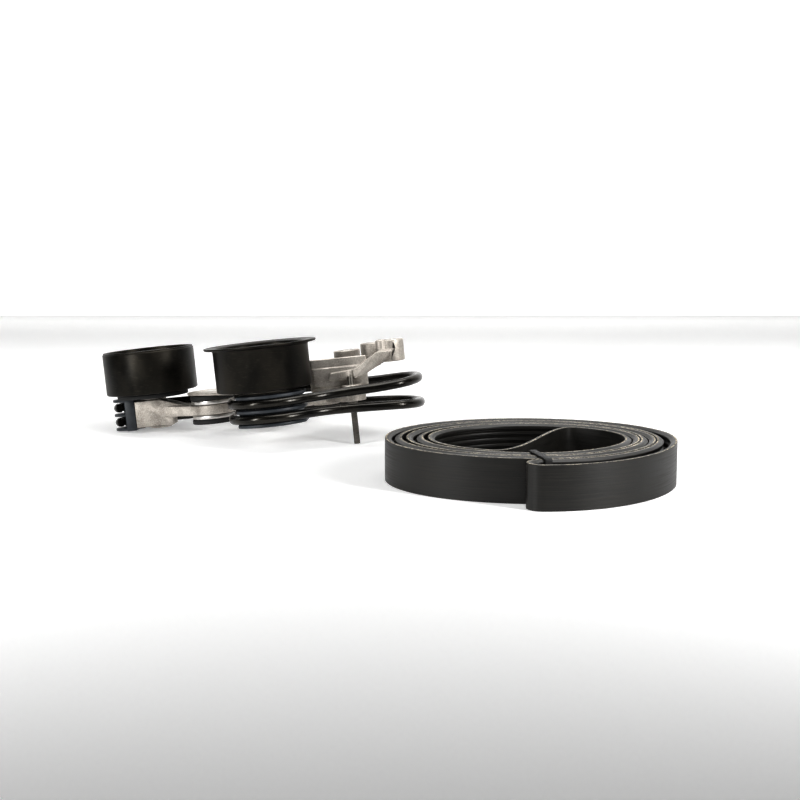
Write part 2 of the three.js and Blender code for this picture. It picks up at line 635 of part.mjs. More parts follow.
/** The tie that clips over the strands behind the hook, with its flattened end inside the hook. */
function beltTie() {
  const group = new THREE.Group();
  const turn = 4; // quarter turns in one lap of the coil
  const near = strandPoint(INNER_STRAND, TIE.at);
  const far = strandPoint(INNER_STRAND, TIE.at + 2 * turn);
  const reach = far.y - near.y;
  const length = Math.hypot(TIE.lean, reach) / 2 + BELT.thickness / 2 + TIE.clearance;
  const half = TIE.width / 2;
  const end = length + TIE.thickness;
  const top = BELT.width + GAP;
  const low = BELT.width * 0.1;
  const over = block(-half, half, -end, end, top, top + TIE.thickness);
  const frontLeg = block(-half, half, -end, -length, low, top + TIE.thickness);
  const backLeg = block(-half, half, length, end, low, top + TIE.thickness);
  const tab = block(half - TIE.tab, half, -end - GAP - 1.6, -end - GAP, top - 2 * TIE.tab, top - TIE.tab / 2);
  const askew = THREE.MathUtils.radToDeg(Math.atan2(TIE.lean, reach));
  const lay = (body) => body.rotate([0, 0, askew]).translate([near.x - TIE.lean / 2, near.y + reach / 2, 0]);
  add(group, "belt_tie", lay(union(over, frontLeg, backLeg)), LOOKS.blackPlastic);
  add(group, "belt_tie_tab", lay(tab), LOOKS.tie);
  return group;
}

// ---------------------------------------------------------------- the kit
const tensioner = new THREE.Group();
tensioner.add(pulley("left", LEFT_AXIS, leftLevels, false));
tensioner.add(pulley("centre", CENTRE_AXIS, centreLevels, true));
tensioner.add(leftArm(), carrier(), springs(), bracket(), lockPin());

const turns = [-LEAN, -TILT, YAW].map(THREE.MathUtils.degToRad);
tensioner.rotation.set(...turns, "ZYX");
tensioner.updateMatrixWorld(true);
const pinTip = new THREE.Vector3(LOCK_HOLE.x, LOCK_HOLE.y, footLevel(LOCK_HOLE, LOCK_PIN.radius));
pinTip.applyMatrix4(tensioner.matrixWorld);
const resting = new THREE.Box3().setFromObject(tensioner, true);
tensioner.position.set(PIN_FOOT.x - pinTip.x, PIN_FOOT.y - pinTip.y, -resting.min.z);

const kit = new THREE.Group();
kit.name = "belt_drive_kit";
kit.add(tensioner, belt(), beltTie());
const extent = new THREE.Box3().setFromObject(kit, true);
const middle = extent.getCenter(new THREE.Vector3());
kit.position.set(-middle.x, -middle.y, -extent.min.z);
export default kit;
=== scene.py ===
"""Looks for a belt-drive kit: a two-pulley belt tensioner with bow springs, and a folded ribbed belt.

Everything is in metres with +Z up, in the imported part's own frame. The tensioner leans a little, so its
pieces are modelled in its own upright frame (u right, v back, w along the pulley axes) and then tipped into
place. The belt's and the rods' own sizes are in millimetres.
"""

from __future__ import annotations

import json
import logging
import math
from dataclasses import dataclass
from enum import Enum
from typing import Callable, Iterable, Sequence

import bpy
from mathutils import Euler, Matrix, Vector
from mathutils.kdtree import KDTree

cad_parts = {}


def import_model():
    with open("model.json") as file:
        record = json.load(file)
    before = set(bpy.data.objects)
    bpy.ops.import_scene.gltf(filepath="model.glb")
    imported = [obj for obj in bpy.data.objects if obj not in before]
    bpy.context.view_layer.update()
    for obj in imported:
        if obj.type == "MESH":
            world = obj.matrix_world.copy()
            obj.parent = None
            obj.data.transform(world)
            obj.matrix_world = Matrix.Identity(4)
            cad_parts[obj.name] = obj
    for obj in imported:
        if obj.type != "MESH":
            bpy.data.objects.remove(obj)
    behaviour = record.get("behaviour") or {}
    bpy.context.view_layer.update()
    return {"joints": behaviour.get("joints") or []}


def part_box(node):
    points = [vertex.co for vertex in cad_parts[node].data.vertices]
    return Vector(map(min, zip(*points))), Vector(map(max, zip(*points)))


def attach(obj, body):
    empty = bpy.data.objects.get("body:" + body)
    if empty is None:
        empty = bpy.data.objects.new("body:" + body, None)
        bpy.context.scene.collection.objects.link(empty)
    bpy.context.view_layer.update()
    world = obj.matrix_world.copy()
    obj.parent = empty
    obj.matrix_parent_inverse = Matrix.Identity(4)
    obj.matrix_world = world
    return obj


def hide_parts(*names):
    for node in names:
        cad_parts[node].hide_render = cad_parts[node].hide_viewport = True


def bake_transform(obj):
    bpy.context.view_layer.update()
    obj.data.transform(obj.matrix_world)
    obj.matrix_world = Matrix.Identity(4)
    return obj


log = logging.getLogger("belt_kit")

MM = 0.001
FULL_TURN = 2 * math.pi
WELD = 1e-6
GAP = 0.3 * MM
LAP = 4  # quarter turns in one lap of the belt's coil
FACING = 0.9  # how nearly a face's normal lies along an axis when the face looks that way


# ---------------------------------------------------------------- shader maths
class Wire:
    """A node's output socket that takes part in Python expressions."""

    def __init__(self, shader: "Shader", socket: bpy.types.NodeSocket) -> None:
        """Keeps the socket and the shader that it belongs to."""
        self.shader = shader
        self.socket = socket

    def _math(self, operation: str, first: "Wire | float", second: "Wire | float") -> "Wire":
        """Adds one Math node.

        Args:
            operation: the Math node's operation.
            first: the first operand.
            second: the second operand.

        Returns:
            The node's value.
        """
        return self.shader.node("ShaderNodeMath", {"operation": operation}, {0: first, 1: second})

    def __add__(self, other: "Wire | float") -> "Wire":
        """Adds."""
        return self._math("ADD", self, other)

    __radd__ = __add__

    def __mul__(self, other: "Wire | float") -> "Wire":
        """Multiplies."""
        return self._math("MULTIPLY", self, other)

    __rmul__ = __mul__

    def __rsub__(self, other: float) -> "Wire":
        """Subtracts this from a number."""
        return self._math("SUBTRACT", other, self)


class Shader:
    """A node-based material that is built one node at a time."""

    def __init__(self, name: str) -> None:
        """Starts a material with a Principled shader and its object coordinates."""
        self.material = bpy.data.materials.new(name)
        self.material.use_nodes = True
        self.tree = self.material.node_tree
        self.surface = self.tree.nodes["Principled BSDF"]
        self.place = self.node("ShaderNodeTexCoord", {}, {}, "Object")

    def node(
        self,
        kind: str,
        settings: dict[str, object],
        inputs: dict[str | int, object],
        output: str | int = 0,
    ) -> Wire:
        """Adds a node.

        Args:
            kind: the node's type.
            settings: its own settings, set first.
            inputs: a value or a wire for each named or numbered input socket.
            output: the output socket that is wanted.

        Returns:
            The wire from that output.
        """
        made = self.tree.nodes.new(kind)
        for key, value in settings.items():
            setattr(made, key, value)
        for key, value in inputs.items():
            self.feed(made.inputs[key], value)
        return Wire(self, made.outputs[output])

    def feed(self, socket: bpy.types.NodeSocket, value: object) -> None:
        """Links a wire to an input socket, or sets the socket's value."""
        if isinstance(value, Wire):
            self.tree.links.new(value.socket, socket)
        else:
            socket.default_value = value

    def set(self, name: str, value: object) -> None:
        """Feeds one socket of the Principled shader."""
        self.feed(self.surface.inputs[name], value)

    def noise(self, scale: float, stretch: tuple[float, float, float] = (1, 1, 1), detail: float = 3) -> Wire:
        """A noise pattern on the object's coordinates.

        Args:
            scale: the pattern's frequency in waves a metre.
            stretch: the frequency's multiple along each axis.
            detail: how many finer octaves the noise has.

        Returns:
            The noise value, from 0 to 1.
        """
        where = self.node("ShaderNodeMapping", {}, {"Vector": self.place, "Scale": stretch})
        return self.node("ShaderNodeTexNoise", {}, {"Vector": where, "Scale": scale, "Detail": detail})

    def ramp(self, value: Wire, low: float, high: float) -> Wire:
        """Spreads the part of a value between low and high over 0 to 1, and clamps the rest."""
        inputs = {"Value": value, "From Min": low, "From Max": high}
        return self.node("ShaderNodeMapRange", {"clamp": True}, inputs)

    def mix(self, share: Wire, first: tuple[float, float, float], second: tuple[float, float, float]) -> Wire:
        """Mixes two colours by a share from 0 to 1."""
        inputs = {0: share, 6: (*first, 1.0), 7: (*second, 1.0)}
        return self.node("ShaderNodeMix", {"data_type": "RGBA"}, inputs, 2)

    def bump(self, height: Wire, distance: float) -> None:
        """Feeds the surface's Normal from a height pattern of some depth in metres."""
        self.set("Normal", self.node("ShaderNodeBump", {}, {"Height": height, "Distance": distance}))


# ---------------------------------------------------------------- finishes
@dataclass(frozen=True)
class Finish:
    """A finish: the record's material slot and how its material is built."""

    name: str
    slot: str

    def build(self, shader: Shader) -> None:
        """Builds the material's nodes."""
        raise NotImplementedError

    def material(self) -> bpy.types.Material:
        """The finish's one material, made the first time that it is asked for."""
        known = bpy.data.materials.get(self.name)
        if known:
            return known
        shader = Shader(self.name)
        self.build(shader)
        return shader.material


@dataclass(frozen=True)
class CastMetal(Finish):
    """Rough cast aluminium with a fine sandy skin and duller hollows."""

    dark: tuple[float, float, float] = (0.3, 0.275, 0.245)
    light: tuple[float, float, float] = (0.66, 0.62, 0.57)
    grain: float = 1500.0
    depth: float = 0.00012

    def build(self, shader: Shader) -> None:
        """Mottled colour and roughness over a grainy bump."""
        clouds = shader.ramp(shader.noise(90, detail=5), 0.3, 0.72)
        fine = shader.noise(self.grain, detail=2)
        flecks = shader.ramp(fine, 0.3, 0.75)
        tone = shader.ramp(clouds * 0.55 + flecks * 0.45, 0.15, 0.85)
        shader.set("Base Color", shader.mix(tone, self.dark, self.light))
        shader.set("Metallic", 0.75)
        shader.set("Roughness", 0.62 - 0.16 * clouds)
        pits = shader.ramp(shader.noise(420, detail=3), 0.35, 0.6)
        shader.bump(fine * 0.6 + pits * 0.4, self.depth)


@dataclass(frozen=True)
class CoatedSteel(Finish):
    """Black coated steel, with a faint blotchy sheen and fine scuffs."""

    base: tuple[float, float, float] = (0.014, 0.0132, 0.0115)
    worn: tuple[float, float, float] = (0.055, 0.049, 0.039)
    roughness: float = 0.34
    spread: float = 0.14
    coat: float = 0.0
    metallic: float = 0.9

    def build(self, shader: Shader) -> None:
        """Soft blotches in colour and sheen, and a very fine skin."""
        blotch = shader.ramp(shader.noise(55, (1, 1, 0.55), 4), 0.36, 0.72)
        scuff = shader.ramp(shader.noise(260, (1, 1, 6), 4), 0.56, 0.78)
        shader.set("Base Color", shader.mix(blotch * 0.6 + scuff * 0.4, self.base, self.worn))
        shader.set("Metallic", self.metallic)
        shader.set("Roughness", self.roughness + self.spread * blotch + 0.06 * scuff)
        shader.set("Coat Weight", self.coat)
        shader.set("Coat Roughness", 0.12)
        shader.bump(shader.noise(2600, detail=2), 0.00001)


@dataclass(frozen=True)
class BareSteel(Finish):
    """Turned or rolled steel with fine tool marks."""

    dark: tuple[float, float, float] = (0.42, 0.405, 0.385)
    light: tuple[float, float, float] = (0.78, 0.765, 0.74)
    roughness: float = 0.28
    marks: tuple[float, float, float] = (1, 1, 14)

    def build(self, shader: Shader) -> None:
        """Streaks along the tool's way, and slight stains."""
        streak = shader.noise(420, self.marks, 4)
        stain = shader.ramp(shader.noise(120, detail=4), 0.4, 0.75)
        tone = shader.ramp(streak * 0.7 + stain * 0.3, 0.2, 0.75)
        shader.set("Base Color", shader.mix(tone, self.dark, self.light))
        shader.set("Metallic", 0.95)
        shader.set("Roughness", self.roughness + 0.22 * stain)
        shader.bump(streak, 0.00003)


@dataclass(frozen=True)
class MouldedPlastic(Finish):
    """Moulded engineering plastic with a fine spark-eroded grain."""

    base: tuple[float, float, float] = (0.022, 0.026, 0.031)
    pale: tuple[float, float, float] = (0.05, 0.058, 0.068)
    roughness: float = 0.38

    def build(self, shader: Shader) -> None:
        """Slight clouding, with grain in the bump."""
        clouds = shader.ramp(shader.noise(130, detail=4), 0.35, 0.75)
        grain = shader.noise(3200, detail=2)
        shader.set("Base Color", shader.mix(clouds, self.base, self.pale))
        shader.set("Roughness", self.roughness + 0.16 * clouds)
        shader.bump(grain, 0.00003)


@dataclass(frozen=True)
class BeltRubber(Finish):
    """Black belt rubber with fine lines along the belt, which runs round on its edge."""

    base: tuple[float, float, float] = (0.006, 0.0058, 0.005)
    # the lighter colour: dust in the level streaks, painted highlight in the upright patches
    dust_and_painted_highlight: tuple[float, float, float] = (0.026, 0.023, 0.018)
    roughness: float = 0.36

    def build(self, shader: Shader) -> None:
        """Level streaks of dust and sheen, and soft upright patches of painted highlight, over a fine fabric
        print.
        """
        lines = shader.ramp(shader.noise(34, (1, 1, 46), 5), 0.4, 0.8)
        # painted highlight: soft patches, taller than wide, that lighten the belt's side where broad
        # highlights fall
        clouds = shader.ramp(shader.noise(26, (1, 1, 0.6), 3), 0.35, 0.75)
        print_ = shader.noise(1900, (1, 1, 1.4), 2)
        shader.set("Base Color", shader.mix(lines * 0.65 + clouds * 0.25, self.base, self.dust_and_painted_highlight))
        shader.set("Roughness", self.roughness + 0.2 * lines + 0.06 * clouds)
        shader.bump(print_ * 0.35 + lines * 0.65, 0.00004)


@dataclass(frozen=True)
class CordEdge(Finish):
    """The cut edge of the belt's tension cords and fabric: tan flecks in dark rubber."""

    rubber: tuple[float, float, float] = (0.05, 0.043, 0.031)
    fibre: tuple[float, float, float] = (0.62, 0.55, 0.42)

    def build(self, shader: Shader) -> None:
        """Broken flecks of fibre."""
        flecks = shader.ramp(shader.noise(700, detail=3), 0.42, 0.6)
        patches = shader.ramp(shader.noise(60, detail=2), 0.3, 0.6)
        shader.set("Base Color", shader.mix(flecks * (0.35 + 0.65 * patches), self.rubber, self.fibre))
        shader.set("Roughness", 0.85)
        shader.bump(flecks, 0.00008)


class Finishes(Enum):
    CAST = CastMetal("cast_aluminium", "cast")
    PULLEY = CoatedSteel("pulley_black", "black_steel")
    ROD = CoatedSteel("rod_black", "black_steel", roughness=0.22, spread=0.08, coat=0.25, metallic=0.8)
    STEEL = BareSteel("bright_steel", "steel")
    PIN = BareSteel("pin_steel", "dark_steel", (0.07, 0.065, 0.058), (0.2, 0.19, 0.17), 0.34)
    SLATE = MouldedPlastic("slate_plastic", "polymer")
    BLACK = MouldedPlastic("black_plastic", "black_plastic", (0.012, 0.012, 0.012), (0.03, 0.03, 0.029), 0.36)
    RUBBER = BeltRubber("belt_rubber", "rubber")
    CORDS = CordEdge("belt_cord_edge", "rubber")
    PAPER = MouldedPlastic("tie_end", "tie", (0.5, 0.46, 0.36), (0.72, 0.68, 0.56), 0.5)


# ---------------------------------------------------------------- the modelling bench
class Bench:
    """Modelling steps that the pieces share. Each leaves its piece selected and active, in object mode."""

    @staticmethod
    def clear() -> None:
        """Leaves edit mode and deselects everything."""
        if bpy.context.object and bpy.context.object.mode != "OBJECT":
            bpy.ops.object.mode_set(mode="OBJECT")
        bpy.ops.object.select_all(action="DESELECT")

    @staticmethod
    def pick(piece: bpy.types.Object) -> None:
        """Selects one piece alone and makes it active."""
        Bench.clear()
        piece.select_set(True)
        bpy.context.view_layer.objects.active = piece

    @staticmethod
    def edit(piece: bpy.types.Object) -> None:
        """Opens a piece in edit mode with everything selected."""
        Bench.pick(piece)
        bpy.ops.object.mode_set(mode="EDIT")
        bpy.ops.mesh.select_mode(type="VERT")
        bpy.ops.mesh.select_all(action="SELECT")

    @staticmethod
    def choose(piece: bpy.types.Object, test: Callable[[Vector], bool]) -> None:
        """Opens a piece in edit mode with the vertices that pass a test selected."""
        Bench.edit(piece)
        bpy.ops.mesh.select_all(action="DESELECT")
        bpy.ops.object.mode_set(mode="OBJECT")
        for vertex in piece.data.vertices:
            vertex.select = test(vertex.co)
        bpy.ops.object.mode_set(mode="EDIT")

    @staticmethod
    def close() -> None:
        """Goes back to object mode."""
        bpy.ops.object.mode_set(mode="OBJECT")

    @staticmethod
    def apply(piece: bpy.types.Object, kind: str, **settings: object) -> None:
        """Adds a modifier, sets it and applies it."""
        Bench.pick(piece)
        modifier = piece.modifiers.new(kind.lower(), kind)
        for key, value in settings.items():
            setattr(modifier, key, value)
        bpy.ops.object.modifier_apply(modifier=modifier.name)

    @staticmethod
    def soften(piece: bpy.types.Object, width: float, segments: int = 2, angle: float = 32) -> None:
        """Rounds the sharp edges and shades the rest smooth.

        Args:
            piece: the piece to finish.
            width: the rounding's width in metres.
            segments: how many steps the rounding has.
            angle: the sharpness in degrees past which an edge is rounded.
        """
        Bench.apply(
            piece,
            "BEVEL",
            width=width,
            segments=segments,
            limit_method="ANGLE",
            angle_limit=math.radians(angle),
            use_clamp_overlap=False,
            harden_normals=False,
        )
        bpy.ops.object.shade_smooth_by_angle(angle=math.radians(35))

    @staticmethod
    def turned(name: str, outline: Sequence[tuple[float, float]], steps: int = 96) -> bpy.types.Object:
        """Turns a closed outline about the Z axis, as on a lathe.

        Args:
            name: the piece's name.
            outline: pairs of radius and height in metres, in order round the outline.
            steps: how many steps a whole turn has.

        Returns:
            The turned piece.
        """
        Bench.clear()
        bpy.ops.mesh.primitive_plane_add(size=MM)
        piece = bpy.context.object
        piece.name = name
        Bench.edit(piece)
        bpy.ops.mesh.merge(type="CENTER")
        first = Vector((outline[0][0], 0, outline[0][1]))
        bpy.ops.transform.translate(value=first)
        at = first
        for radius, height in outline[1:]:
            to = Vector((radius, 0, height))
            bpy.ops.mesh.extrude_vertices_move(TRANSFORM_OT_translate={"value": to - at})
            at = to
        bpy.ops.mesh.extrude_vertices_move(TRANSFORM_OT_translate={"value": first - at})
        bpy.ops.mesh.select_all(action="SELECT")
        bpy.ops.mesh.remove_doubles(threshold=WELD)
        bpy.ops.mesh.spin(steps=steps, angle=FULL_TURN, center=(0, 0, 0), axis=(0, 0, 1))
        bpy.ops.mesh.select_all(action="SELECT")
        bpy.ops.mesh.remove_doubles(threshold=WELD)
        bpy.ops.mesh.dissolve_degenerate(threshold=WELD)
        bpy.ops.mesh.normals_make_consistent(inside=False)
        Bench.close()
        return piece

    @staticmethod
    def swept(
        name: str,
        route: Sequence[Vector],
        section: Sequence[tuple[float, float]] | float,
        closed: bool,
    ) -> bpy.types.Object:
        """Sweeps a section along a route, with the section's height kept upright.

        Args:
            name: the piece's name.
            route: the points of the middle line.
            section: a rod's radius, or pairs of sideways and upward offsets round a section.
            closed: whether the route runs back into its start.

        Returns:
            The swept piece as a mesh.
        """
        Bench.clear()
        bpy.ops.curve.primitive_bezier_curve_add()
        piece = bpy.context.object
        piece.name = name
        path = piece.data
        path.dimensions = "3D"
        path.twist_mode = "Z_UP"
        path.use_fill_caps = not closed
        Bench._lay(path, route, closed)
        if isinstance(section, float):
            path.bevel_depth = section
            path.bevel_resolution = 6
        else:
            bpy.ops.curve.primitive_bezier_curve_add()
            outline = bpy.context.object
            outline.data.dimensions = "2D"
            outline.data.fill_mode = "NONE"
            Bench._lay(outline.data, [Vector((x, y, 0)) for x, y in section], True)
            path.bevel_mode = "OBJECT"
            path.bevel_object = outline
        Bench.pick(piece)
        bpy.ops.object.convert(target="MESH")
        piece = bpy.context.object
        if not isinstance(section, float):
            bpy.data.objects.remove(outline)
        Bench.edit(piece)
        bpy.ops.mesh.remove_doubles(threshold=WELD)
        bpy.ops.mesh.normals_make_consistent(inside=False)
        Bench.close()
        return piece

    @staticmethod
    def _lay(path: bpy.types.Curve, points: Sequence[Vector], closed: bool) -> None:
        """Replaces a curve's splines by one run of straight steps through the points."""
        path.splines.clear()
        spline = path.splines.new("POLY")
        spline.points.add(len(points) - 1)
        for spot, point in zip(spline.points, points):
            spot.co = (*point, 1.0)
        spline.use_cyclic_u = closed

    @staticmethod
    def copied(node: str) -> bpy.types.Object:
        """A welded copy of a CAD node, with its flat faces made whole."""
        Bench.clear()
        piece = bpy.data.objects.new(f"{node}_finished", bpy.data.objects[node].data.copy())
        bpy.context.scene.collection.objects.link(piece)
        piece.data.materials.clear()
        Bench.edit(piece)
        bpy.ops.mesh.remove_doubles(threshold=WELD)
        bpy.ops.mesh.dissolve_limited(angle_limit=math.radians(0.8))
        Bench.close()
        return piece


class Fitter:
    """Puts finished pieces in place: their frame, their body and their finish."""

    @staticmethod
    def tip(piece: bpy.types.Object, frame: Matrix) -> None:
        Bench.pick(piece)
        piece.matrix_world = frame
        bpy.ops.object.transform_apply(location=True, rotation=True, scale=True)

    @staticmethod
    def dress(piece: bpy.types.Object, finish: Finishes) -> None:
        """Gives a piece one finish all over."""
        piece.data.materials.clear()
        piece.data.materials.append(finish.value.material())

    @staticmethod
    def fit(piece: bpy.types.Object, finish: Finishes, body: str, *nodes: str) -> None:
        """Dresses a piece, makes it ride a body, and lets it stand for CAD nodes."""
        Fitter.dress(piece, finish)
        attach(piece, body)
        if nodes:
            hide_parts(*nodes)
        log.info("%s rides %s, %d faces", piece.name, body, len(piece.data.polygons))

    @staticmethod
    def keep(node: str, finish: Finishes) -> None:
        """Leaves a CAD node showing, with a finish of its own."""
        shown = bpy.data.objects[node]
        shown.data.materials.clear()
        shown.data.materials.append(finish.value.material())
        log.info("%s keeps its solid", node)

    @staticmethod
    def refine(node: str, finish: Finishes, body: str, width: float, segments: int = 2) -> None:
        """Replaces a CAD node by a welded copy with rounded edges.

        Args:
            node: the CAD node.
            finish: what it is dressed in.
            body: the body that it rides.
            width: the edges' rounding in metres.
            segments: how many steps the rounding has.
        """
        piece = Bench.copied(node)
        Bench.soften(piece, width, segments)
        Fitter.fit(piece, finish, body, node)


# ---------------------------------------------------------------- the tensioner
@dataclass(frozen=True)
class Stance:
    lean: float = -3.0
    tilt: float = -6.0
    yaw: float = -2.0
    arm_pivot: tuple[float, float] = (-45 * MM, 13 * MM)

    def frame(self, joints: Sequence[dict]) -> Matrix:
        """Args:
            joints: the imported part's joints, of which the arm's gives the place.

        Returns:
            The matrix.
        """
        turn = Euler([math.radians(a) for a in (self.lean, self.tilt, self.yaw)], "XYZ").to_matrix()
        at = next(Vector(j["pos_m"]) for j in joints if j["name"] == "left_arm_swing")
        origin = at - turn @ Vector((*self.arm_pivot, 0))
        return Matrix.Translation(origin) @ turn.to_4x4()


@dataclass
class Pulley:
    """A smooth pulley on a sealed ball bearing, with its bolt and dust cap."""

    name: str
    axis: tuple[float, float]
    flanged: bool
    hub_body: str
    bottom: float
    radius: float = 30.8 * MM
    width: float = 29 * MM
    wall: float = 2.6 * MM
    web: float = 4 * MM
    hub_wall: float = 2.4 * MM
    flange_radius: float = 36.3 * MM
    flange: float = 1.5 * MM
    bearing_outer: float = 17 * MM
    bearing_inner: float = 6 * MM
    bearing_width: float = 13 * MM
    race: float = 2.7 * MM
    seal: float = 0.8 * MM
    head_height: float = 4.6 * MM

    @property
    def body(self) -> str:
        """The body that turns."""
        return f"{self.name}_pulley"

    @property
    def top(self) -> float:
        """The height of the rim's upper edge."""
        return self.bottom + self.width

    @property
    def middle(self) -> float:
        """The height of the web's mid-plane."""
        return self.bottom + self.width / 2

    def build(self, frame: Matrix) -> None:
        """Builds the pulley.

        Args:
            frame: the tensioner's frame.
        """
        place = frame @ Matrix.Translation((*self.axis, 0))
        self._rim(place)
        self._seals(place)
        self._races(place)
        self._cap(place)
        Fitter.keep(f"{self.name}_bearing_balls", Finishes.STEEL)
        Fitter.refine(f"{self.name}_axle_bolt", Finishes.STEEL, self.hub_body, 0.35 * MM)

    def _rim(self, place: Matrix) -> None:
        """Turns the rolled rim, its web and its bearing seat in one piece."""
        hub_in = self.bearing_outer + GAP
        hub_out = hub_in + self.hub_wall
        low = self.middle - self.bearing_width / 2 - MM
        high = self.middle + self.bearing_width / 2 + 5 * MM
        inner = self.radius - self.wall
        web_low, web_high = self.middle - self.web / 2, self.middle + self.web / 2
        dish = 1.2 * MM
        outline = [
            (hub_in, low),
            (hub_out, low),
            (hub_out, web_low),
            ((hub_out + inner) / 2, web_low + dish / 2),
            (inner, web_low),
            (inner, self.bottom + 0.4 * MM),
            (inner + 0.5 * MM, self.bottom),
            (self.radius - 0.9 * MM, self.bottom),
            (self.radius - 0.25 * MM, self.bottom + 0.3 * MM),
            (self.radius, self.bottom + 1.0 * MM),
        ]
        if self.flanged:
            outline += [
                (self.radius, self.top - self.flange - 1.1 * MM),
                (self.radius + 0.5 * MM, self.top - self.flange - 0.1 * MM),
                (self.flange_radius - 0.5 * MM, self.top - 0.9 * MM),
                (self.flange_radius, self.top - 0.2 * MM),
                (self.flange_radius - 0.05 * MM, self.top + 0.5 * MM),
                (self.flange_radius - 0.6 * MM, self.top + 0.6 * MM),
                (self.flange_radius - 1.6 * MM, self.top + 0.3 * MM),
                (inner + 1.4 * MM, self.top),
                (inner + 0.3 * MM, self.top - 0.6 * MM),
                (inner, self.top - 1.6 * MM),
            ]
        else:
            outline += [
                (self.radius, self.top - self.flange),
                (self.radius - 0.15 * MM, self.top - self.flange + 0.35 * MM),
                (self.radius - 0.5 * MM, self.top - self.flange + 0.55 * MM),
                (self.radius - 0.5 * MM, self.top - 0.15 * MM),
                (self.radius - 0.75 * MM, self.top),
                (inner + 0.5 * MM, self.top),
                (inner, self.top - 0.5 * MM),
            ]
        outline += [
            (inner, web_high),
            ((hub_out + inner) / 2, web_high + dish / 2),
            (hub_out, web_high),
            (hub_out, high - 0.4 * MM),
            (hub_out - 0.4 * MM, high),
            (hub_in, high),
        ]
        rim = Bench.turned(f"{self.name}_pulley_rolled_rim", outline, 144)
        Bench.soften(rim, 0.22 * MM, 2)
        Fitter.tip(rim, place)
        Fitter.fit(rim, Finishes.PULLEY, self.body, f"{self.name}_pulley_rim")

    def _seals(self, place: Matrix) -> None:
        """Turns the two rubber seals, each with a dished step."""
        outer = self.bearing_outer - self.race - GAP
        inner = self.bearing_inner + self.race + GAP
        half = self.bearing_width / 2
        step = 0.3 * MM
        for end, face, way in (("lower", self.middle - half, 1), ("upper", self.middle + half, -1)):
            outline = [
                (inner, face + way * step),
                (inner + 1.0 * MM, face),
                (inner + 1.8 * MM, face + way * step),
                (outer - 1.6 * MM, face + way * step),
                (outer - 1.0 * MM, face),
                (outer, face),
                (outer, face + way * self.seal),
                (inner, face + way * self.seal),
            ]
            ring = Bench.turned(f"{self.name}_bearing_{end}_lip_seal", outline, 72)
            Bench.soften(ring, 0.1 * MM, 2)
            Fitter.tip(ring, place)
            Fitter.fit(ring, Finishes.BLACK, self.body, f"{self.name}_bearing_seal_{end}")

    def _races(self, place: Matrix) -> None:
        """Turns the bearing's two races, each with a ball track and chamfered corners."""
        half = self.bearing_width / 2
        low, high = self.middle - half, self.middle + half
        groove, depth, chamfer = 2.2 * MM, 0.55 * MM, 0.5 * MM
        out, track = self.bearing_outer, self.bearing_outer - self.race
        outer = [
            (out - chamfer, low),
            (out, low + chamfer),
            (out, high - chamfer),
            (out - chamfer, high),
            (track, high),
            (track, self.middle + groove),
            (track + depth, self.middle + groove / 2),
            (track + depth, self.middle - groove / 2),
            (track, self.middle - groove),
            (track, low),
        ]
        bore, track = self.bearing_inner, self.bearing_inner + self.race
        inner = [
            (bore + chamfer, low),
            (track, low),
            (track, self.middle - groove),
            (track - depth, self.middle - groove / 2),
            (track - depth, self.middle + groove / 2),
            (track, self.middle + groove),
            (track, high),
            (bore + chamfer, high),
            (bore, high - chamfer),
            (bore, low + chamfer),
        ]
        for side, outline, body in (("outer", outer, self.body), ("inner", inner, self.hub_body)):
            ring = Bench.turned(f"{self.name}_bearing_{side}_ring", outline, 72)
            Bench.soften(ring, 0.12 * MM, 2)
            Fitter.tip(ring, place)
            Fitter.fit(ring, Finishes.STEEL, body, f"{self.name}_bearing_{side}_race")

    def _cap(self, place: Matrix) -> None:
        """Turns the snap-in dust cap, with a raised ring and a dimple."""
        low = self.middle + self.bearing_width / 2 + GAP + self.head_height + GAP
        radius = self.bearing_outer
        outline = [
            (0, low),
            (radius - 1.2 * MM, low),
            (radius - 1.2 * MM, low - 2 * MM),
            (radius - 0.3 * MM, low - 2 * MM),
            (radius, low - 1.6 * MM),
            (radius, low + 0.4 * MM),
            (radius - 0.8 * MM, low + 1.2 * MM),
            (radius - 3.6 * MM, low + 1.2 * MM),
            (radius - 4.2 * MM, low + 0.8 * MM),
            (4.4 * MM, low + 0.8 * MM),
            (3.8 * MM, low + 1.1 * MM),
            (2.4 * MM, low + 1.1 * MM),
            (1.6 * MM, low + 0.7 * MM),
            (0, low + 0.7 * MM),
        ]
        cap = Bench.turned(f"{self.name}_snap_dust_cap", outline, 96)
        Bench.soften(cap, 0.15 * MM, 2)
        Fitter.tip(cap, place)
        Fitter.fit(cap, Finishes.BLACK, self.body, f"{self.name}_dust_cap")


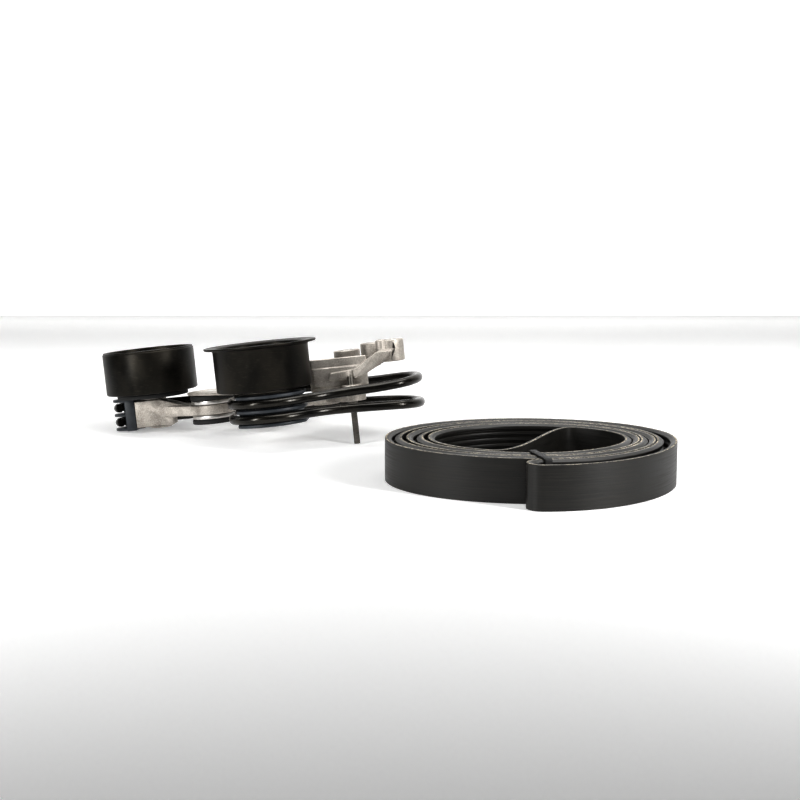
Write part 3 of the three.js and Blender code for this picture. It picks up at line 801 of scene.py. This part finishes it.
@dataclass
class BowSprings:
    """Two stacked steel rods, each bent in a long hairpin from the spool round to the arm's saddle."""

    radius: float = 3 * MM
    level: float = 4.9 * MM
    splay: float = 3.4 * MM
    spool: tuple[float, float] = (-1, -28)
    spool_turn: float = 25
    bend: tuple[float, float] = (69, 0)
    bend_radius: float = 26
    saddle: tuple[float, float] = (-107, 32)
    saddle_turn: float = 7
    samples: int = 220

    @staticmethod
    def _around(centre: tuple[float, float], radius: float, degrees: Iterable[float]) -> list[Vector]:
        """Points on an arc in the tensioner's level plane, in millimetres."""
        x, y = centre
        turns = [math.radians(a) for a in degrees]
        return [Vector((x + radius * math.cos(a), y + radius * math.sin(a), 0)) for a in turns]

    def knots(self, side: int) -> list[Vector]:
        """The points that one rod's middle line passes through, in millimetres.

        Args:
            side: 1 for the upper rod, -1 for the lower one.

        Returns:
            The points, from the spool's end to the saddle's.
        """
        points = self._around(self.spool, self.spool_turn, (176, 205, 235, 262, 290))
        points += self._around(self.spool, self.spool_turn + 0.8, (315,))
        points += [Vector((30, -36, 0)), Vector((44, -29.5, 0))]
        points += self._around(self.bend, self.bend_radius, (-90, -50, -20, 20, 50, 90))
        points += [Vector((20, 30.5, 0)), Vector((-35, 35, 0)), Vector((-80, 38.4, 0))]
        points += self._around(self.saddle, self.saddle_turn, (92, 130, 165, 200, 228))
        first, last = 6, len(points) - 6
        for i, point in enumerate(points):
            share = min(max((i - first) / (last - first), 0), 1)
            point.z = side * (self.level + self.splay * math.sin(math.pi * share) ** 2) / MM
        return points

    @staticmethod
    def smooth(knots: Sequence[Vector], samples: int) -> list[Vector]:
        """Evenly spaced points on the centripetal Catmull-Rom curve through some points.

        Args:
            knots: the points.
            samples: how many points to give back.

        Returns:
            The points of the curve.
        """
        ends = [2 * knots[0] - knots[1], *knots, 2 * knots[-1] - knots[-2]]
        fine: list[Vector] = []
        parts = 24
        for a, b, c, d in zip(ends, ends[1:], ends[2:], ends[3:]):
            t1 = math.sqrt((b - a).length)
            t2 = t1 + math.sqrt((c - b).length)
            t3 = t2 + math.sqrt((d - c).length)
            for i in range(parts):
                t = t1 + (t2 - t1) * i / parts
                ab = a.lerp(b, t / t1)
                bc = b.lerp(c, (t - t1) / (t2 - t1))
                cd = c.lerp(d, (t - t2) / (t3 - t2))
                abc = ab.lerp(bc, t / t2)
                bcd = bc.lerp(cd, (t - t1) / (t3 - t1))
                fine.append(abc.lerp(bcd, (t - t1) / (t2 - t1)))
        fine.append(knots[-1].copy())
        return even(fine, samples, False)

    def build(self, frame: Matrix) -> None:
        """Bends both rods.

        Args:
            frame: the tensioner's frame.
        """
        for name, side in (("upper", 1), ("lower", -1)):
            route = [point * MM for point in self.smooth(self.knots(side), self.samples)]
            rod = Bench.swept(f"bow_spring_{name}_rod", route, self.radius, False)
            Bench.soften(rod, 0.5 * MM, 3, 60)
            Fitter.tip(rod, frame)
            Fitter.dress(rod, Finishes.ROD)
            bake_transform(rod)
            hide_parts(f"bow_spring_{name}")
            log.info("%s bends from carrier to left_arm", rod.name)


def even(points: Sequence[Vector], count: int, closed: bool) -> list[Vector]:
    """Points at even distances along a run of straight steps.

    Args:
        points: the run's corners.
        count: how many points to give back.
        closed: whether the run goes back to its first corner.

    Returns:
        The evenly spaced points.
    """
    run = [*points, points[0]] if closed else list(points)
    reach = [0.0]
    for a, b in zip(run, run[1:]):
        reach.append(reach[-1] + (b - a).length)
    steps = count if closed else count - 1
    found: list[Vector] = []
    i = 0
    for k in range(count):
        want = reach[-1] * k / steps
        while i < len(run) - 2 and reach[i + 1] < want:
            i += 1
        found.append(run[i].lerp(run[i + 1], (want - reach[i]) / max(reach[i + 1] - reach[i], WELD * MM)))
    return found


@dataclass(frozen=True)
class Assembly:
    """The pieces of one body that are CAD nodes with rounded edges.

    Each has its node's name, its finish, its rounding in millimetres and the rounding's steps.
    """

    body: str
    pieces: tuple[tuple[str, Finishes, float, int], ...]

    def build(self) -> None:
        """Builds the pieces."""
        for node, finish, width, segments in self.pieces:
            Fitter.refine(node, finish, self.body, width * MM, segments)


LEFT_ARM = Assembly(
    "left_arm",
    (
        ("left_arm_casting", Finishes.CAST, 0.7, 3),
        ("left_arm_bush", Finishes.SLATE, 0.25, 2),
        ("left_arm_saddle", Finishes.SLATE, 0.3, 2),
        ("left_dust_shield", Finishes.BLACK, 0.35, 2),
    ),
)
CARRIER = Assembly(
    "carrier",
    (
        ("carrier_casting", Finishes.CAST, 0.5, 3),
        ("carrier_bush", Finishes.SLATE, 0.25, 2),
        ("spring_spool", Finishes.SLATE, 0.3, 2),
        ("arm_pivot_pin", Finishes.STEEL, 0.5, 2),
        ("arm_washer_upper", Finishes.STEEL, 0.3, 2),
        ("arm_disc_upper", Finishes.BLACK, 0.5, 3),
        ("arm_washer_lower", Finishes.STEEL, 0.3, 2),
        ("arm_disc_lower", Finishes.BLACK, 0.5, 3),
    ),
)
BRACKET = Assembly(
    "bracket",
    (
        ("bracket_casting", Finishes.CAST, 0.7, 3),
        *((f"bolt_sleeve_{end}", Finishes.STEEL, 0.2, 2) for end in ("right", "end", "ear", "rear")),
        ("carrier_pivot_bolt", Finishes.PIN, 0.4, 2),
    ),
)
LOCK_PIN = Assembly("lock_pin", (("lock_pin", Finishes.PIN, 0.3, 2),))


# ---------------------------------------------------------------- the belt
@dataclass
class RibbedBelt:
    """An endless belt with ribs on one face, folded into a flat coil that stands on its edge."""

    width: float = 24.9
    thickness: float = 4.0
    centre: tuple[float, float] = (75.2, 11.5)
    half_length: float = 84.2
    half_depth: float = 68.2
    ribs: int = 7
    rib_depth: float = 1.9
    cord_from: float = 0.95
    cord_to: float = 1.6
    outer_end: float = 11.62
    inner_end: float = 9.55
    leave_pull: float = 0.55
    join_pull: float = 0.45
    steps: int = 24
    spacing: float = 2.4
    outer: tuple[float, ...] = (-16, 2.2, 2.2, 2.2, 2.6, 14.2, 12.2, 14.5, 12.4, 23.2, 22, 27, 22.4)
    inner: tuple[float, ...] = (-2.6, 9.7, 7.3, 8, 7.4, 18.7, 17.1, 20.5, 17.2, 27.8, 27)

    def strand(self, depths: Sequence[float], quarters: float) -> Vector:
        """A point of a strand's middle line, in millimetres.

        Args:
            depths: how far the strand lies inside the outline at each quarter turn.
            quarters: how many quarter turns the point is from the hook.

        Returns:
            The point.
        """
        i = min(int(quarters), len(depths) - 2)
        share = (1 - math.cos(math.pi * (quarters - i))) / 2
        depth = depths[i] + (depths[i + 1] - depths[i]) * share
        angle = (quarters - 1) * math.pi / 2
        a, b = self.half_length, self.half_depth
        reach = a * b / math.hypot(b * math.cos(angle), a * math.sin(angle)) - depth
        return Vector((self.centre[0] + reach * math.cos(angle), self.centre[1] + reach * math.sin(angle), 0))

    def _crossing(self) -> list[Vector]:
        """The stretch that leaves the outer strand and crosses over to the inner one."""
        step = 1 / 11  # of a quarter turn, over which each end's own way is taken
        count = 60
        leave = self.strand(self.outer, self.outer_end)
        leave_way = (leave - self.strand(self.outer, self.outer_end - step)).normalized()
        join = self.strand(self.inner, self.inner_end)
        join_way = (join - self.strand(self.inner, self.inner_end + step)).normalized()
        reach = (leave - join).length * 0.5
        leave_bar = leave + leave_way * reach * self.leave_pull
        join_bar = join - join_way * reach * self.join_pull
        bars = (leave, leave_bar, join_bar, join)
        run = []
        for i in range(count):
            t = i / count
            weights = ((1 - t) ** 3, 3 * t * (1 - t) ** 2, 3 * t * t * (1 - t), t**3)
            run.append(sum((w * p for w, p in zip(weights, bars)), Vector()))
        return run

    def route(self) -> list[Vector]:
        """The whole middle line as an even closed run of points, in millimetres."""
        count = round(self.outer_end * self.steps)
        line = [self.strand(self.outer, self.outer_end * i / count) for i in range(count)]
        line += self._crossing()
        count = round(self.inner_end * self.steps)
        line += [self.strand(self.inner, self.inner_end * (1 - i / count)) for i in range(count)]
        inner, outer = self.strand(self.inner, 0), self.strand(self.outer, 0)
        middle, radius = (inner + outer) / 2, (inner - outer).length / 2
        for i in range(self.steps):
            angle = math.pi / 2 + math.pi * i / self.steps
            line.append(middle + radius * Vector((math.cos(angle), math.sin(angle), 0)))
        length = sum((b - a).length for a, b in zip(line, [*line[1:], line[0]]))
        return even(line, round(length / self.spacing), True)

    def section(self) -> list[tuple[float, float]]:
        """The belt's section, as pairs of an offset towards the smooth back and a height."""
        back = self.thickness / 2
        root = self.rib_depth - back
        edge = 0.25  # the smooth back's bevelled corners
        crown = 0.12  # how far a rib's flanks stand back from its flat top
        groove, groove_half = 0.15, 0.06  # a groove's extra depth, and its half width in rib pitches
        pitch = self.width / self.ribs
        points = [(back - edge, 0), (back, edge), (back, self.width - edge), (back - edge, self.width)]
        points += [(self.cord_to, self.width), (self.cord_from, self.width), (root, self.width)]
        for i in reversed(range(self.ribs)):
            low = i * pitch
            for share, offset in ((0.7, -back + crown), (0.62, -back), (0.38, -back), (0.3, -back + crown)):
                points.append((offset, low + share * pitch))
            if i:
                points += [(root - groove, low + way * groove_half * pitch) for way in (1, -1)]
        points += [(root, 0), (self.cord_from, 0), (self.cord_to, 0)]
        return points

    def build(self) -> None:
        """Sweeps the belt and lays cord along its cut edges."""
        line = self.route()
        low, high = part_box("ribbed_belt")
        xs = [p.x for p in line]
        ys = [p.y for p in line]
        middle = Vector(((min(xs) + max(xs)) / 2, (min(ys) + max(ys)) / 2, 0)) * MM
        shift = Vector(((low.x + high.x) / 2, (low.y + high.y) / 2, 0)) - middle
        route = [p * MM + shift for p in line]
        section = [(x * MM, y * MM) for x, y in self.section()]
        belt = Bench.swept("ribbed_belt_detailed", route, section, True)
        Bench.pick(belt)
        bpy.ops.object.shade_smooth_by_angle(angle=math.radians(24))
        self._colour(belt, route)
        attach(belt, "belt")
        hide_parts("ribbed_belt")
        log.info("%s is %.0f mm long, %d faces", belt.name, len(line) * self.spacing, len(belt.data.polygons))

    def _colour(self, belt: bpy.types.Object, route: Sequence[Vector]) -> None:
        """Gives the strip of cord in both cut edges its own finish."""
        Fitter.dress(belt, Finishes.RUBBER)
        belt.data.materials.append(Finishes.CORDS.value.material())
        tree = KDTree(len(route))
        for i, point in enumerate(route):
            tree.insert(point, i)
        tree.balance()
        for face in belt.data.polygons:
            if abs(face.normal.z) < FACING:
                continue
            flat = Vector((face.center.x, face.center.y, 0))
            _, i, _ = tree.find(flat)
            way = (route[(i + 1) % len(route)] - route[i - 1]).normalized()
            offset = (flat - route[i]).dot(Vector((way.y, -way.x, 0))) / MM
            if self.cord_from < offset < self.cord_to:
                face.material_index = 1


@dataclass
class BeltTie:
    """The tie that clips askew over the strands, with its flattened end."""

    belt: RibbedBelt
    width: float = 4.0
    thickness: float = 1.0
    clearance: float = 1.1
    corner: float = 1.3
    at: float = 0.025
    lean: float = 5.0
    laps: int = 2
    tag: float = 5.0
    tag_depth: float = 1.6
    body: str = "belt"

    def build(self) -> None:
        """Bends the strap and shapes its end."""
        near = self.belt.strand(self.belt.inner, self.at)
        far = self.belt.strand(self.belt.inner, self.at + LAP * self.laps)
        reach = far.y - near.y
        askew = math.atan2(self.lean, reach)
        half_length = math.hypot(self.lean, reach) / 2 + self.belt.thickness / 2 + self.clearance
        end = (half_length + self.thickness) * MM
        low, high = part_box("belt_tie")
        middle = (low + high) / 2
        frame = Matrix.Translation((middle.x, middle.y, 0)) @ Matrix.Rotation(askew, 4, "Z")
        strap = self._strap(self._bends(end, low.z, high.z))
        Fitter.tip(strap, frame)
        Fitter.fit(strap, Finishes.BLACK, self.body, "belt_tie")
        tag = self._tag(end)
        Fitter.tip(tag, frame)
        Fitter.fit(tag, Finishes.PAPER, self.body, "belt_tie_tab")

    def _bends(self, end: float, low: float, high: float) -> list[Vector]:
        """The strap's middle line: up the front leg, over the strands and down the back leg.

        Args:
            end: how far the legs' outer faces are from the middle.
            low: the height of the legs' ends.
            high: the height of the strap's top face.

        Returns:
            The points.
        """
        half = self.thickness / 2 * MM
        r = self.corner * MM
        reach, top = end - half, high - half
        steps = 8
        route = [Vector((0, -reach, low))]
        for side in (-1, 1):
            for k in range(steps + 1):
                angle = math.pi / 2 * (k / steps if side < 0 else 1 - k / steps)
                across = reach - r + r * math.cos(angle)
                route.append(Vector((0, side * across, top - r + r * math.sin(angle))))
        route.append(Vector((0, reach, low)))
        return route

    def _strap(self, route: Sequence[Vector]) -> bpy.types.Object:
        """Extrudes the strap's cross strip along its route.

        Args:
            route: the middle line, in a plane across the belt.

        Returns:
            The strap.
        """
        Bench.clear()
        upright = (math.pi / 2, 0, 0)
        bpy.ops.mesh.primitive_plane_add(size=self.width * MM, location=route[0], rotation=upright)
        strap = bpy.context.object
        strap.name = "belt_tie_strap"
        bpy.ops.object.transform_apply(location=True, rotation=True, scale=True)
        start = route[0]
        for vertex in strap.data.vertices:
            vertex.co.z = start.z if vertex.co.z < start.z else start.z + MM
        Bench.choose(strap, lambda co: co.z > start.z + MM / 2)
        at = start + Vector((0, 0, MM))
        for point in route[1:]:
            bpy.ops.mesh.extrude_region_move(TRANSFORM_OT_translate={"value": point - at})
            at = point
        bpy.ops.mesh.select_all(action="SELECT")
        bpy.ops.mesh.normals_make_consistent(inside=False)
        Bench.close()
        Bench.apply(strap, "SOLIDIFY", thickness=self.thickness * MM, offset=0, use_even_offset=True)
        Bench.soften(strap, 0.3 * MM, 2, 50)
        return strap

    def _tag(self, end: float) -> bpy.types.Object:
        """Shapes the tie's flattened end: a rounded tag that narrows downwards, with a pressed groove.

        Args:
            end: how far the strap's front face is from its middle.

        Returns:
            The tag.
        """
        low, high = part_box("belt_tie_tab")
        size = Vector((self.tag * MM, self.tag_depth * MM, high.z - low.z))
        x = (self.width - self.tag) / 2 * MM
        middle = Vector((x, -end - GAP - size.y / 2, (low.z + high.z) / 2))
        Bench.clear()
        bpy.ops.mesh.primitive_cube_add(size=1, location=middle, scale=size)
        tag = bpy.context.object
        tag.name = "belt_tie_flattened_end"
        bpy.ops.object.transform_apply(location=True, rotation=True, scale=True)
        Bench.choose(tag, lambda co: co.z < middle.z)
        bpy.ops.transform.resize(value=(0.72, 0.8, 1), center_override=middle)
        bpy.ops.mesh.select_all(action="DESELECT")
        bpy.ops.mesh.select_mode(type="FACE")
        Bench.close()
        for face in tag.data.polygons:
            face.select = face.normal.y < -FACING
        bpy.ops.object.mode_set(mode="EDIT")
        bpy.ops.mesh.inset(thickness=0.9 * MM, depth=-0.3 * MM)
        bpy.ops.mesh.select_mode(type="VERT")
        Bench.close()
        Bench.soften(tag, 0.3 * MM, 3)
        return tag


# ---------------------------------------------------------------- the studio
@dataclass
class Studio:
    """A plain pale floor that curves up behind, soft lights, and the camera."""

    camera_place: tuple[float, float, float] = (0.0217, -0.9159, 0.175)
    camera_pitch: float = 8.49
    lens: float = 68.085
    floor_colour: tuple[float, float, float] = (0.93, 0.93, 0.925)
    glow: float = 0.3
    dim: float = 0.2
    bright: float = 0.9
    exposure: float = 0.15
    contrast: float = 0.76

    def camera(self) -> None:
        bpy.ops.object.camera_add(
            location=self.camera_place,
            rotation=(math.radians(90 - self.camera_pitch), 0, 0),
        )
        camera = bpy.context.object
        camera.data.lens = self.lens
        camera.data.sensor_width = 36
        camera.data.clip_start = 0.01
        bpy.context.scene.camera = camera

    def floor(self) -> None:
        """Lays the floor, with its far side curved up into a wall."""
        Bench.clear()
        half, bend, wall, far = 4.0, 0.6, 2.5, 1.0
        below = 0.0002
        bpy.ops.mesh.primitive_plane_add(size=2 * half, location=(0, far - half, -below))
        sweep = bpy.context.object
        sweep.name = "studio_floor"
        bpy.ops.object.transform_apply(location=True, rotation=True, scale=True)
        Bench.choose(sweep, lambda co: co.y > far - bend)
        bpy.ops.mesh.spin(steps=16, angle=math.pi / 2, center=(0, far, bend), axis=(1, 0, 0))
        bpy.ops.mesh.extrude_region_move(TRANSFORM_OT_translate={"value": (0, 0, wall)})
        Bench.close()
        Bench.pick(sweep)
        bpy.ops.object.shade_smooth()
        shader = Shader("studio_paper")
        tone = shader.noise(3, detail=2)
        pale = tuple(0.985 * c for c in self.floor_colour)
        shader.set("Base Color", shader.mix(tone, self.floor_colour, pale))
        shader.set("Roughness", 0.9)
        shader.set("Emission Color", (1, 1, 1, 1))
        shader.set("Emission Strength", self.glow)
        sweep.data.materials.append(shader.material)

    def lights(self) -> None:
        """Hangs the soft lights and a surround that is pale above and dim round the sides."""
        for name, place, size, power, aim in (
            ("left_strip", (-0.62, -0.55, 0.27), (0.12, 0.5), 4.0, (-0.05, 0.05, 0.1)),
            ("right_strip", (0.66, -0.5, 0.27), (0.14, 0.5), 5.0, (0.05, 0.05, 0.1)),
            ("top", (0.1, 0.1, 1.4), (1.4, 1.2), 30.0, (0, 0, 0)),
        ):
            bpy.ops.object.light_add(type="AREA", location=place)
            light = bpy.context.object
            light.name = f"studio_{name}"
            light.data.shape = "RECTANGLE"
            light.data.size, light.data.size_y = size
            light.data.energy = power
            light.rotation_euler = (Vector(aim) - Vector(place)).to_track_quat("-Z", "Y").to_euler()
        world = bpy.data.worlds.new("studio_surround")
        bpy.context.scene.world = world
        world.use_nodes = True
        nodes, links = world.node_tree.nodes, world.node_tree.links
        place = nodes.new("ShaderNodeTexCoord")
        split = nodes.new("ShaderNodeSeparateXYZ")
        ramp = nodes.new("ShaderNodeMapRange")
        spread = {"From Min": 0.15, "From Max": 0.55, "To Min": self.dim, "To Max": self.bright}
        for key, value in spread.items():
            ramp.inputs[key].default_value = value
        links.new(place.outputs["Generated"], split.inputs[0])
        links.new(split.outputs["Z"], ramp.inputs["Value"])
        links.new(ramp.outputs[0], nodes["Background"].inputs["Strength"])
        settings = bpy.context.scene.view_settings
        settings.view_transform = "Standard"
        settings.exposure = self.exposure
        settings.gamma = self.contrast


def main() -> None:
    logging.basicConfig(level=logging.INFO, format="%(name)s: %(message)s")
    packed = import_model()
    studio = Studio()
    studio.camera()
    frame = Stance().frame(packed["joints"])
    Pulley("left", (-88 * MM, 27 * MM), False, "left_arm", 14.4 * MM).build(frame)
    Pulley("centre", (-4 * MM, -25 * MM), True, "carrier", 12.4 * MM).build(frame)
    LEFT_ARM.build()
    CARRIER.build()
    BowSprings().build(frame)
    BRACKET.build()
    LOCK_PIN.build()
    belt = RibbedBelt()
    belt.build()
    BeltTie(belt).build()
    studio.floor()
    studio.lights()
    bpy.context.view_layer.update()


if __name__ == "__main__":
    main()
